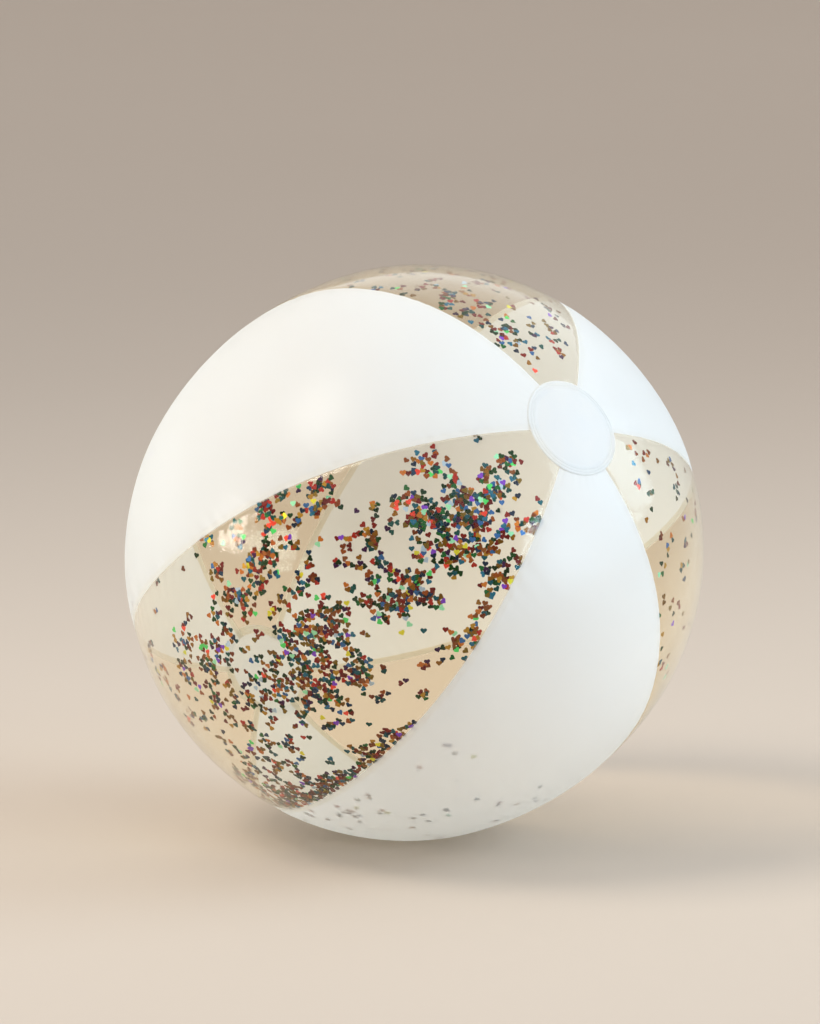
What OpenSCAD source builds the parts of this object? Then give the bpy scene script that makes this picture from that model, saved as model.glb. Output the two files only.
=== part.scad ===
// Inflatable beach ball: six welded gores, an end cap on each pole, a push-in
// valve with a tethered plug, and loose heart confetti inside.
// Everything is drawn in the ball's own pole frame (pole axis along +Z) and then
// placed at rest on the ground, with the pole axis leaning over.

/* [Ball] */
// Diameter across the equator of the inflated ball
ball_d = 380; // [300:5:500]
// How far the ball's shoulders stand out of a plain sphere: 0.2 is nearly round
shoulder_rise = 1.16; // [0.2:0.04:1.6]
// Thickness of the film
film_t = 0.3; // [0.25:0.05:0.4]
// Height of the flat that the ground presses into the ball
patch_sag = 1.5; // [1:0.1:2.5]

/* [Pose at rest] */
// Lean of the pole axis away from upright
pole_tilt = 55.8; // [50:0.1:62]
// Heading of the leaning pole axis, from +X
pole_heading = -48.7; // [-90:0.1:90]
// Turn of the seams about the pole axis
seam_phase = 21.2; // [19:0.1:23]

/* [Gores and caps] */
// Width of the welded lap between two gores
lap_w = 4; // [3:0.5:6]
// Diameter of the end caps
cap_d = 69; // [60:1:80]
// Thickness of the end caps
cap_t = 0.5; // [0.4:0.05:0.8]
// Width of the weld ring that joins a cap to the gore tips
cap_weld_w = 6; // [5:0.5:8]

/* [Valve] */
// Latitude of the valve on its white gore
valve_lat = 18; // [15:1:25]
// Outer diameter of the welded flange
flange_d = 34; // [32:1:38]
// Diameter of the recess that the stem sits in
recess_d = 20; // [19.5:0.5:22]
// Outer diameter of the stem
stem_d = 9; // [8.6:0.1:9.4]
// How far the stem pulls out of its recess
stem_travel = 9; // [8:0.5:11]
// Bore of the stem
bore_d = 5.2; // [5:0.1:5.4]
// Diameter of the plug's head
plug_head_d = 9.4; // [9:0.1:10]
// Diametral clearance of the plug's sealing band in the bore
plug_clearance = 0.08; // [0.04:0.02:0.12]
// Distance of the plug's hinge from the stem's axis
hinge_x = 7; // [6.8:0.1:7.2]

/* [Confetti] */
// Width of one heart
heart_w = 4; // [3:0.5:5]
// Thickness of one heart
heart_t = 0.15; // [0.1:0.05:0.3]
// Hearts of each colour
hearts_each = 40; // [10:5:60]

/* [Hidden] */
$fn = 96;

WHITE = [0.95, 0.94, 0.91];
CLEAR = [0.86, 0.85, 0.80, 0.35];
VALVE_CLEAR = [0.88, 0.89, 0.88, 0.8];

radius = ball_d / 2;
gore_angle = 60;
layer_gap = 0.1;                          // air between two lapped films
clear_depth = film_t + layer_gap;         // the clear gores lie one film further in
skin_depth = clear_depth + film_t;        // everything inside starts below this
tip_r = cap_d / 2 - cap_weld_w;           // where the gores end under a cap
lap_sweep = asin(min(1, lap_w / tip_r));  // angle that holds half a lap at a tip
inner_clearance = 0.6;                    // from the film to the loose confetti
press_reach = 10 * patch_sag;             // thick enough to span the pressed flat

// The meridian: an equator arc and two pole arcs of radius long_r, joined by
// shoulder arcs of radius short_r. The arc centres lie on a 16-63-65 right
// triangle, whose whole-number sides let the arcs meet without a step.
flat_angle = atan2(16, 63);
shoulder_c = 16 * shoulder_rise;          // both coordinates of a shoulder arc's centre
flat_c = (63 - 16) * shoulder_rise;       // how far a flatter arc's centre is drawn back
long_r = radius + flat_c;
short_r = long_r - 65 * shoulder_rise;
joint_far = shoulder_rise * [8 * 63 - 47, 8 * 16];  // far along the line of an arc joint
reach = 3 * radius;

// Point of the meridian whose outward normal has latitude p
function meridian(p) =
    abs(p) <= flat_angle
        ? [long_r * cos(p) - flat_c, long_r * sin(p)]
    : abs(p) <= 90 - flat_angle
        ? [shoulder_c + short_r * cos(p), sign(p) * (shoulder_c + short_r * sin(abs(p)))]
    : [long_r * cos(p), sign(p) * (long_r * sin(abs(p)) - flat_c)];

// Height of the ball's centre: its reach straight down, less the flat.
down_lat = pole_tilt - 90;
down_point = meridian(down_lat);
centre_z = down_point[0] * cos(down_lat) + down_point[1] * sin(down_lat) - patch_sag;

// The valve sits on the middle line of its gore
valve_az = seam_phase + 90;

// Axes of the pole frame, seen from the ground frame
axis_x = [cos(pole_tilt) * cos(pole_heading), cos(pole_tilt) * sin(pole_heading), -sin(pole_tilt)];
axis_y = [-sin(pole_heading), cos(pole_heading), 0];
axis_z = [sin(pole_tilt) * cos(pole_heading), sin(pole_tilt) * sin(pole_heading), cos(pole_tilt)];

// ---------- placing ----------

// From the pole frame to the ball at rest on the ground
module at_rest() {
    translate([0, 0, centre_z]) rotate([0, 0, pole_heading]) rotate([0, pole_tilt, 0]) children();
}

// Onto the skin at azimuth az where the normal has latitude p, with +Z outward
module on_skin(az, p, depth) {
    point = meridian(p) - depth * [cos(p), sin(p)];
    rotate([0, 0, az]) translate([point[0], 0, point[1]]) rotate([0, 90 - p, 0]) children();
}

module at_valve() {
    at_rest() on_skin(valve_az, valve_lat, 0) children();
}

// ---------- the film ----------

// An arc-shaped band around centre, between the lines to far points p and q
module arc_band(centre, r, thickness, p, q) {
    intersection() {
        translate(centre) difference() {
            circle(r = r);
            circle(r = r - thickness);
        }
        polygon([centre, p, q]);
    }
}

// The film's sections, whose outer face lies depth below the ball's outer face
module equator_section(depth, thickness) {
    arc_band([-flat_c, 0], long_r - depth, thickness, joint_far, [joint_far[0], -joint_far[1]]);
}

module shoulder_section(depth, thickness) {
    arc_band([shoulder_c, shoulder_c], short_r - depth, thickness, joint_far, [joint_far[1], joint_far[0]]);
}

module pole_section(depth, thickness) {
    arc_band([0, -flat_c], long_r - depth, thickness, [joint_far[1], joint_far[0]], [0, joint_far[0]]);
}

// The whole film between two meridians, open around each pole
module film(depth, thickness, sweep) {
    rotate_extrude(angle = sweep) equator_section(depth, thickness);
    for (side = [0, 1]) {
        mirror([0, 0, side]) {
            rotate_extrude(angle = sweep) shoulder_section(depth, thickness);
            rotate_extrude(angle = sweep) intersection() {
                pole_section(depth, thickness);
                translate([tip_r, 0]) square([reach, reach]);
            }
        }
    }
}

// One gore from tip to tip, with half a lap beyond each seam
module gore(start, depth) {
    at_rest() rotate([0, 0, start]) difference() {
        rotate([0, 0, -lap_sweep]) film(depth, film_t, gore_angle + 2 * lap_sweep);
        for (edge = [0, 1]) {
            rotate([0, 0, edge * gore_angle]) mirror([0, edge, 0]) {
                translate([-reach, -lap_w / 2 - reach, -reach]) cube([2 * reach, reach, 2 * reach]);
            }
        }
    }
}

module white_gore(start) {
    color(WHITE) gore(start, 0);
}

module clear_gore(start) {
    color(CLEAR) gore(start, clear_depth);
}

module gore_white_left() {
    white_gore(seam_phase + 180);
}

// The gore that the ball rests on, pressed flat by the ground
module gore_white_under() {
    color(WHITE) {
        difference() {
            gore(seam_phase - 60, 0);
            translate([-reach, -reach, -reach]) cube([2 * reach, 2 * reach, reach]);
        }
        intersection() {
            at_rest() mirror([0, 0, 1]) rotate([0, 0, -gore_angle / 2]) {
                rotate_extrude(angle = gore_angle) shoulder_section(0, press_reach);
            }
            translate([-reach, -reach, 0]) cube([2 * reach, 2 * reach, film_t]);
        }
    }
}

module gore_white_right() {
    color(WHITE) difference() {
        gore(seam_phase + 60, 0);
        at_valve() translate([0, 0, -radius / 4]) cylinder(d = recess_d, h = radius / 2);
    }
}

module gore_clear_front() {
    clear_gore(seam_phase - 120);
}

module gore_clear_right() {
    clear_gore(seam_phase);
}

module gore_clear_top() {
    clear_gore(seam_phase + 120);
}

// A disc that closes one pole, with two pressed rings over its weld
module end_cap() {
    ring_w = 0.5;
    ring_depth = 0.15;
    ring_insets = [1.6, 3.6];
    cap_out = cap_t + layer_gap;
    color(WHITE) rotate_extrude() difference() {
        intersection() {
            pole_section(-cap_out, cap_t);
            square([cap_d / 2, 2 * radius]);
        }
        for (inset = ring_insets) {
            translate([0, -flat_c]) intersection() {
                difference() {
                    circle(r = long_r + 2 * cap_out);
                    circle(r = long_r + cap_out - ring_depth);
                }
                translate([cap_d / 2 - inset - ring_w, 0]) square([ring_w, 2 * radius]);
            }
        }
    }
}

module end_cap_front() {
    at_rest() end_cap();
}

module end_cap_rear() {
    at_rest() mirror([0, 0, 1]) end_cap();
}

// ---------- the valve: +Z outward, 0 on the ball's outer face ----------

flange_t = 0.8;
flange_sweep = 30;                        // degrees of film that the flange is cut from
flange_bottom = -film_t - layer_gap - flange_t;
stem_top = -0.6;                          // rim of the pushed-in stem
stem_l = stem_travel + 3;
stem_bottom = stem_top - stem_l;
collar_h = 1.6;
collar_d = stem_d + 2.4;
skirt_t = 0.6;
lug_w = 3;
lug_h = 1.6;
hinge_z = stem_top - lug_h / 2;
knuckle_d = 1.6;
hinge_gap = 0.2;
head_gap = 0.2;
head_t = 1.4;
head_chamfer = 0.4;
seal_h = 1.2;
plug_l = 4;
plug_tip_d = 3.2;
mouth_chamfer = 0.4;
strap_w = 3;
strap_t = 0.9;
flap_d = 7.4;
flap_t = 0.5;
flap_gap = 0.1;

// Welded under the film around the recess, following the ball's curve
module valve_flange() {
    color(VALVE_CLEAR) intersection() {
        at_rest() rotate([0, 0, valve_az - flange_sweep / 2]) {
            rotate_extrude(angle = flange_sweep) equator_section(film_t + layer_gap, flange_t);
            rotate_extrude(angle = flange_sweep) shoulder_section(film_t + layer_gap, flange_t);
        }
        at_valve() difference() {
            translate([0, 0, -radius / 4]) cylinder(d = flange_d, h = radius / 2);
            translate([0, 0, -radius / 4 - 1]) cylinder(d = recess_d, h = radius / 2 + 2);
        }
    }
}

// Thin cone that joins the flange to the foot of the stem and lets it travel
module valve_skirt() {
    top_r = recess_d / 2 + skirt_t;
    top_z = flange_bottom - top_r * top_r / (2 * short_r) - layer_gap;
    foot_r = collar_d / 2;
    foot_z = stem_bottom + collar_h + layer_gap;
    color(VALVE_CLEAR) at_valve() rotate_extrude() {
        polygon([
            [foot_r - skirt_t, foot_z], [foot_r, foot_z],
            [top_r, top_z], [top_r - skirt_t, top_z]
        ]);
    }
}

// Tube with a foot collar, and a lug at its rim for the plug's strap
module valve_stem() {
    color(VALVE_CLEAR) at_valve() difference() {
        union() {
            translate([0, 0, stem_bottom]) cylinder(d = stem_d, h = stem_l);
            translate([0, 0, stem_bottom]) cylinder(d = collar_d, h = collar_h);
            translate([-hinge_x + knuckle_d / 2 + hinge_gap, -lug_w / 2, stem_top - lug_h]) {
                cube([hinge_x - knuckle_d / 2 - hinge_gap, lug_w, lug_h]);
            }
        }
        translate([0, 0, stem_bottom - 1]) cylinder(d = bore_d, h = stem_l + 2);
        translate([0, 0, stem_top - mouth_chamfer]) {
            cylinder(d1 = bore_d, d2 = bore_d + 4 * mouth_chamfer, h = 2 * mouth_chamfer);
        }
    }
}

// Disc under the stem that air from outside pushes open, with a hinge bead
module valve_check_flap() {
    color(VALVE_CLEAR) at_valve() translate([0, 0, stem_bottom - flap_gap - flap_t / 2]) {
        cylinder(d = flap_d, h = flap_t, center = true);
        translate([-flap_d / 2, 0, 0]) rotate([90, 0, 0]) {
            cylinder(d = flap_t, h = lug_w, center = true);
        }
    }
}

// Head, sealing band and tapered tip, turned as one piece
module valve_plug() {
    head_z = stem_top + head_gap;
    band_r = (bore_d - plug_clearance) / 2;
    color(VALVE_CLEAR) at_valve() rotate_extrude() {
        polygon([
            [0, stem_top - plug_l], [plug_tip_d / 2, stem_top - plug_l],
            [band_r, stem_top - seal_h], [band_r, head_z],
            [plug_head_d / 2, head_z], [plug_head_d / 2, head_z + head_t - head_chamfer],
            [plug_head_d / 2 - head_chamfer, head_z + head_t], [0, head_z + head_t]
        ]);
    }
}

// Strap from the edge of the plug's head down to the hinge beside the rim
module plug_strap() {
    head_z = stem_top + head_gap;
    head_edge = plug_head_d / 2;
    color(VALVE_CLEAR) at_valve() rotate([90, 0, 0]) {
        translate([0, 0, -strap_w / 2]) linear_extrude(height = strap_w) difference() {
            union() {
                translate([-hinge_x, hinge_z]) circle(d = knuckle_d);
                translate([-hinge_x - knuckle_d / 2, hinge_z]) {
                    square([strap_t, head_z - hinge_z + strap_t]);
                }
                translate([-hinge_x - knuckle_d / 2, head_z]) square([hinge_x + knuckle_d / 2, strap_t]);
            }
            translate([-head_edge, head_z - 1]) square([head_edge, strap_t + 2]);
        }
    }
}

// ---------- confetti ----------

module heart() {
    lobe = heart_w / (2 + sqrt(2));       // radius of each lobe and half the square's side
    linear_extrude(height = heart_t) {
        for (side = [-1, 1]) {
            translate([side * lobe * cos(45), lobe * sin(45)]) circle(r = lobe);
        }
        rotate(45) translate([-lobe, -lobe]) square(2 * lobe);
    }
}

CONFETTI_COLOURS = 6;
confetti_total = CONFETTI_COLOURS * hearts_each;
golden_turn = 137.508;
heart_turn = 47;                          // from one heart's heading to the next
lowest = 16;                              // degrees kept clear over the flat
highest = 150;
crowding = 1.5;                           // above 1 packs the hearts lower down
valve_keep_out = 12;                      // degrees kept clear around the valve

// Direction of heart i in the ground frame: a spiral that thins out upward
function spread(i) = lowest + (highest - lowest) * pow((i + 0.5) / confetti_total, 1 / crowding);
function heart_way(i) =
    [sin(spread(i)) * cos(i * golden_turn), sin(spread(i)) * sin(i * golden_turn), -cos(spread(i))];
function in_pole_frame(v) = [v * axis_x, v * axis_y, v * axis_z];
valve_way = [cos(valve_lat) * cos(valve_az), cos(valve_lat) * sin(valve_az), sin(valve_lat)];

module confetti(first, shade) {
    color(shade) for (i = [first : CONFETTI_COLOURS : confetti_total - 1]) {
        way = in_pole_frame(heart_way(i));
        if (way * valve_way < cos(valve_keep_out)) {
            at_rest() on_skin(atan2(way[1], way[0]), asin(way[2]), skin_depth + inner_clearance) {
                rotate([0, 0, heart_turn * i]) heart();
            }
        }
    }
}

module confetti_red() {
    confetti(0, [0.42, 0.10, 0.12]);
}

module confetti_copper() {
    confetti(1, [0.60, 0.30, 0.14]);
}

module confetti_gold() {
    confetti(2, [0.58, 0.46, 0.16]);
}

module confetti_green() {
    confetti(3, [0.10, 0.28, 0.20]);
}

module confetti_teal() {
    confetti(4, [0.20, 0.42, 0.50]);
}

module confetti_navy() {
    confetti(5, [0.14, 0.18, 0.36]);
}

gore_white_left();
gore_white_under();
gore_white_right();
gore_clear_front();
gore_clear_right();
gore_clear_top();
end_cap_front();
end_cap_rear();
valve_flange();
valve_skirt();
valve_stem();
valve_check_flap();
valve_plug();
plug_strap();
confetti_red();
confetti_copper();
confetti_gold();
confetti_green();
confetti_teal();
confetti_navy();
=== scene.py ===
"""An inflated beach ball: six welded gores, two end caps, a push-in valve and heart confetti.

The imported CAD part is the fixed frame. Each of its plain solids is rebuilt here as soft film:
puckered seams with stepped laps, pressed weld rings, moulded vinyl and loose foil hearts.
"""
import math

import bmesh
import bpy
import numpy as np
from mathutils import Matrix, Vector


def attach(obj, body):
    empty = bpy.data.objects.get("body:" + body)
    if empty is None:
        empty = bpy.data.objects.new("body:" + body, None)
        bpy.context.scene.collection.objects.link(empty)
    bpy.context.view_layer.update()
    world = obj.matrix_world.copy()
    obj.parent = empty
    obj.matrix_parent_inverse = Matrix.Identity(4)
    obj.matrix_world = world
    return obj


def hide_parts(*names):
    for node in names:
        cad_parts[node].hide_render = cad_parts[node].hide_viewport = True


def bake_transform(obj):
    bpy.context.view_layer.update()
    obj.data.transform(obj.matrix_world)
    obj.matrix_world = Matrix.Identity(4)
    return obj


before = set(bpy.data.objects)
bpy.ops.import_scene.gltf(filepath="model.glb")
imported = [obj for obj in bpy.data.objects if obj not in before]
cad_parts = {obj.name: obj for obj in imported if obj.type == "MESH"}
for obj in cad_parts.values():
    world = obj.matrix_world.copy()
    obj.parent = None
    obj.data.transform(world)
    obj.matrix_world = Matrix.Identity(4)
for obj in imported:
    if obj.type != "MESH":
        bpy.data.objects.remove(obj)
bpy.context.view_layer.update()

MM = 0.001                                # all lengths here are in metres
TURN = 2 * math.pi
TINY = 1e-6

# ---------- the ball's sizes, as the CAD source has them ----------

RADIUS = 190 * MM
RISE = 1.16 * MM                          # unit of the 16-63-65 triangle of arc centres
FLAT_ANGLE = math.atan2(16, 63)
SHOULDER_C = 16 * RISE
FLAT_C = 47 * RISE
LONG_R = RADIUS + FLAT_C
SHORT_R = LONG_R - 65 * RISE
FILM_T = 0.3 * MM
LAYER_GAP = 0.1 * MM
CLEAR_DEPTH = FILM_T + LAYER_GAP
PATCH_SAG = 1.5 * MM
POLE_TILT = math.radians(55.8)
POLE_HEADING = math.radians(-48.7)
SEAM_PHASE = math.radians(21.2)
GORE_ANGLE = math.radians(60)
HALF_LAP = 2 * MM
TIP_R = 28.5 * MM
CAP_R = 34.5 * MM
CAP_T = 0.5 * MM
VALVE_LAT = math.radians(18)
VALVE_AZ = SEAM_PHASE + math.radians(90)
RECESS_R = 10 * MM

# Arc length along the skin from the equator, at each change of curvature
BEND_ARCS = [0, LONG_R * FLAT_ANGLE]
BEND_ARCS.append(BEND_ARCS[1] + SHORT_R * (math.pi / 2 - 2 * FLAT_ANGLE))
BEND_ARCS.append(BEND_ARCS[2] + LONG_R * FLAT_ANGLE)
BEND_LATS = [0, FLAT_ANGLE, math.pi / 2 - FLAT_ANGLE, math.pi / 2]


def smooth(t):
    """0 below 0, 1 above 1, and a soft step between."""
    t = np.clip(t, 0, 1)
    return t * t * (3 - 2 * t)


def latitude(arc):
    """The normal's latitude at an arc length from the equator along the skin."""
    return np.sign(arc) * np.interp(np.abs(arc), BEND_ARCS, BEND_LATS)


def arc_to(lat):
    """Arc length along the skin from the equator to where the normal has latitude lat."""
    return np.sign(lat) * np.interp(np.abs(lat), BEND_LATS, BEND_ARCS)


def meridian(lat):
    """Distance from the pole axis and height, where the skin's normal has latitude lat."""
    steep = np.abs(lat)
    by_pole = steep > math.pi / 2 - FLAT_ANGLE
    by_equator = steep <= FLAT_ANGLE
    radius = np.where(by_pole | by_equator, LONG_R, SHORT_R)
    centre_r = np.where(by_equator, -FLAT_C, np.where(by_pole, 0, SHOULDER_C))
    centre_h = np.where(by_pole, -FLAT_C, np.where(by_equator, 0, SHOULDER_C))
    return centre_r + radius * np.cos(lat), np.sign(lat) * (centre_h + radius * np.sin(steep))


TILT_COS, TILT_SIN = math.cos(POLE_TILT), math.sin(POLE_TILT)
HEADING_COS, HEADING_SIN = math.cos(POLE_HEADING), math.sin(POLE_HEADING)

# Rows are the pole frame's axes, seen from the ground frame
POLE_AXES = np.array([
    [TILT_COS * HEADING_COS, TILT_COS * HEADING_SIN, -TILT_SIN],
    [-HEADING_SIN, HEADING_COS, 0],
    [TILT_SIN * HEADING_COS, TILT_SIN * HEADING_SIN, TILT_COS],
])
DOWN_LAT = POLE_TILT - math.pi / 2
down_r, down_h = meridian(DOWN_LAT)
CENTRE = np.array([0, 0, down_r * math.cos(DOWN_LAT) + down_h * math.sin(DOWN_LAT) - PATCH_SAG])


def normal(az, lat):
    """The skin's outward normal at azimuth az and latitude lat."""
    az, lat = np.broadcast_arrays(az, lat)
    local = np.stack([np.cos(lat) * np.cos(az), np.cos(lat) * np.sin(az), np.sin(lat)], -1)
    return local @ POLE_AXES


def skin(az, lat, depth=0.0):
    """Points on the skin, depth below the ball's outer face."""
    az, lat, depth = np.broadcast_arrays(az, lat, depth)
    out, height = meridian(lat)
    out = out - depth * np.cos(lat)
    height = height - depth * np.sin(lat)
    return np.stack([out * np.cos(az), out * np.sin(az), height], -1) @ POLE_AXES + CENTRE


# ---------- the film's relief ----------

PUCKER = 0.19 * MM                        # height of the waves beside a seam
PUCKER_PITCH = 12.5 * MM
PUCKER_REACH = 11 * MM                    # how far from the seam they die out
PUCKER_SLANT = 4.5 * MM                   # the waves lean by one radian in this distance
PUCKER_DRIFT, DRIFT_PITCH = 1.8, 55 * MM  # their phase wanders by this many radians
STRENGTH_PITCH = 75 * MM                  # their height swells and fades over this length
STRENGTH_MEAN, STRENGTH_SWING = 0.45, 0.55    # around this share of PUCKER, by up to so much
CALM_R, CALM_FADE = 40 * MM, 14 * MM      # nearer the pole the film is smooth
SEAM_TENSION = (1.0, 0.8, 0.9, 1.0, 1.7, 1.0)   # how much each seam puckers, from SEAM_PHASE on
GROOVE, GROOVE_W = 0.35 * MM, 7 * MM
UNEVEN = 0.12 * MM                        # slow rise and fall of the whole skin
UNEVEN_WAVES = ((11, 3), (9, 1), (13, 2))     # along each ground axis: how fast, and the phase
FAN, FAN_FOLDS, FAN_REACH = 0.035 * MM, 38, 9 * MM   # fine wrinkles around the caps
WANDER_PARTS = ((0.71, 0.3), (1.0, 0.45), (1.43, 0.25))   # stretch and share of each wave


def wander(x, pitch, seed):
    """A smooth wave of about that pitch, which never quite repeats."""
    phases = np.random.default_rng(seed).uniform(0, TURN, 3)
    return sum(share * np.sin(TURN * x / (pitch * stretch) + phase)
               for (stretch, share), phase in zip(WANDER_PARTS, phases))


def seam_relief(across, arc, seam):
    """How far the film stands proud at a distance across one seam."""
    away = np.abs(across)
    out = meridian(latitude(arc))[0]
    calm = smooth((out - CALM_R) / CALM_FADE)
    swell = STRENGTH_MEAN + STRENGTH_SWING * wander(arc, STRENGTH_PITCH, seam)
    strength = PUCKER * SEAM_TENSION[seam] * swell
    phase = TURN * arc / PUCKER_PITCH + PUCKER_DRIFT * wander(arc, DRIFT_PITCH, seam + 10)
    ripple = np.sin(phase + away / PUCKER_SLANT) * np.exp(-away / PUCKER_REACH)
    return calm * strength * ripple - GROOVE * np.exp(-(across / GROOVE_W) ** 2)


def film_relief(az, lat):
    """Slow unevenness of the whole skin, and fine wrinkles that fan out from the caps."""
    n = normal(az, lat)
    x, y, z = (np.sin(rate * n[..., k] + phase) for k, (rate, phase) in enumerate(UNEVEN_WAVES))
    out = meridian(lat)[0]
    fan = np.sin(FAN_FOLDS * az + 2 * np.sin(3 * az)) * np.exp(-np.abs(out - CAP_R) / FAN_REACH)
    return UNEVEN * (x * y + z) + FAN * fan


# ---------- mesh helpers ----------

def finish_mesh(obj, sharp=50):
    """Smooth shading that keeps edges sharper than that many degrees."""
    mesh = obj.data
    mesh.polygons.foreach_set("use_smooth", np.ones(len(mesh.polygons), bool))
    mesh.set_sharp_from_angle(angle=math.radians(sharp))


def new_object(name, verts, faces):
    mesh = bpy.data.meshes.new(name)
    mesh.from_pydata([tuple(vert) for vert in verts], [], [tuple(face) for face in faces])
    obj = bpy.data.objects.new(name, mesh)
    bpy.context.scene.collection.objects.link(obj)
    return obj


def add_values(obj, name, values):
    """A number for each vertex, which materials read by name."""
    obj.data.attributes.new(name, "FLOAT", "POINT").data.foreach_set(
        "value", np.ascontiguousarray(values, np.float32).ravel())


def border(quads):
    """Edges that only one quad has, in that quad's direction."""
    edges = np.stack([quads, np.roll(quads, -1, axis=1)], -1).reshape(-1, 2)
    size = int(quads.max()) + 1
    there, back = edges[:, 0] * size + edges[:, 1], edges[:, 1] * size + edges[:, 0]
    return edges[~np.isin(there, back)]


def shell(name, outer, inner, wraps=False, keep=None, values=None):
    """A closed skin from a grid of outer points and a grid of inner ones.
    wraps joins the last column to the first, keep says which quads of the grid stay,
    and values are numbers on the grid's points, by name."""
    rows, cols = outer.shape[:2]
    index = np.arange(rows * cols).reshape(rows, cols)
    if wraps:
        index = np.concatenate([index, index[:, :1]], axis=1)
    quads = np.stack([index[:-1, :-1], index[1:, :-1], index[1:, 1:], index[:-1, 1:]], -1)
    quads = quads.reshape(-1, 4) if keep is None else quads[keep]
    outer, inner = outer.reshape(-1, 3), inner.reshape(-1, 3)
    sample = quads[len(quads) // 2]
    a, b, c = outer[sample[:3]]
    if np.dot(np.cross(b - a, c - b), a - inner[sample[0]]) < 0:
        quads = quads[:, ::-1]
    edges = border(quads)
    count = len(outer)
    rim = np.stack([edges[:, 1], edges[:, 0], edges[:, 0] + count, edges[:, 1] + count], -1)
    faces = np.concatenate([quads, quads[:, ::-1] + count, rim])
    verts = np.concatenate([outer, inner])
    used, faces = np.unique(faces, return_inverse=True)
    obj = new_object(name, verts[used], faces.reshape(-1, 4))
    for label, grid in (values or {}).items():
        add_values(obj, label, np.tile(grid.ravel(), 2)[used])
    return obj


def edit_mesh(obj, change):
    """Runs change on the object's mesh as a bmesh."""
    work = bmesh.new()
    work.from_mesh(obj.data)
    change(work)
    work.to_mesh(obj.data)
    work.free()


def weld_points(obj):
    """Merges points that lie on each other, such as a pole's."""
    def change(work):
        bmesh.ops.remove_doubles(work, verts=work.verts, dist=TINY)
        bmesh.ops.dissolve_degenerate(work, edges=work.edges, dist=0.1 * TINY)
    edit_mesh(obj, change)


def point_outward(obj):
    """Turns every face of closed solids outward."""
    edit_mesh(obj, lambda work: bmesh.ops.recalc_face_normals(work, faces=work.faces))


# ---------- gores ----------

ROW_PITCH = 2 * MM
COLUMN_STEPS = ((4, 0.6), (12, 1.0), (24, 1.5), (97, 2.7))   # up to that many mm, mm apart
NEAR_SEAM = 12 * MM                       # columns keep their distance from a seam up to here
TIP_ARC = float(arc_to(math.acos(TIP_R / LONG_R)))
WELD_OUT, WELD_FADE = 2.2 * MM, 2.8 * MM  # where a clear gore rises from under its neighbour
LAND_DEPTH = 0.08 * MM                    # how far the weld presses into a white gore
LAND_OUT, LAND_FADE = 1.6 * MM, 0.6 * MM  # where that ends
ROUNDING = 0.5 * MM                       # softness of the rim of the flat
RECESS_LOST, RECESS_BLEND = 0.75, 3       # of the recess's radius: the grid's points nearer than
                                          # the first go, and those up to the second move


def column_distances():
    """Distances of a gore's columns from its seam, at the equator, out to the middle line."""
    places = [-HALF_LAP / MM]
    for end, step in COLUMN_STEPS:
        count = round((end - places[-1]) / step)
        places += list(np.linspace(places[-1], end, count + 1)[1:])
    return np.array(places) * MM


def gore_columns(arcs, start):
    """Azimuth of every grid point of a gore, row by row."""
    nominal = column_distances()
    out = meridian(latitude(arcs))[0][:, None]
    half = out * GORE_ANGLE / 2
    near = np.minimum(NEAR_SEAM, 0.45 * half)
    span = RADIUS * GORE_ANGLE / 2 - NEAR_SEAM
    beyond = near + (nominal - NEAR_SEAM) * (half - near) / span
    inside = np.where(nominal <= NEAR_SEAM, nominal * near / NEAR_SEAM, beyond)
    turn = np.where(nominal < 0, np.arcsin(np.clip(nominal / out, -1, 1)), inside / out)
    return np.concatenate([start + turn, (start + GORE_ANGLE - turn)[:, ::-1]], axis=1)


def rest_on_ground(points, clearance):
    """Presses flat what would lie lower than clearance above the ground."""
    over = points[..., 2] - clearance
    points[..., 2] = clearance + (over + np.sqrt(over ** 2 + ROUNDING ** 2)) / 2


def open_recess(arcs, az):
    """Draws the grid around the valve out to its recess. Returns the new azimuths and
    latitudes, and which quads stay."""
    lat = np.repeat(latitude(arcs)[:, None], az.shape[1], axis=1)
    out = meridian(lat)[0]
    x = arc_to(VALVE_LAT) - arc_to(lat)
    y = (az - VALVE_AZ) * out
    far = np.hypot(x, y)
    blend_r, lost_r = RECESS_BLEND * RECESS_R, RECESS_LOST * RECESS_R
    near = far < blend_r
    moved = RECESS_R + (far - lost_r) * (blend_r - RECESS_R) / (blend_r - lost_r)
    gone = far < lost_r
    corner = gone[:-1, :-1] | gone[1:, :-1] | gone[1:, 1:] | gone[:-1, 1:]
    keep = ~corner
    edge = np.zeros(az.shape, bool)
    for down, right in ((0, 0), (1, 0), (1, 1), (0, 1)):
        edge[down:down + keep.shape[0], right:right + keep.shape[1]] |= corner
    scale = np.where(near, moved / np.maximum(far, 1e-9), 1.0)
    scale = np.where(edge & ~gone, RECESS_R / np.maximum(far, 1e-9), scale)
    x, y = x * scale, y * scale
    lat = latitude(arc_to(VALVE_LAT) - x)
    return VALVE_AZ + y / meridian(lat)[0], lat, keep


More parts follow.
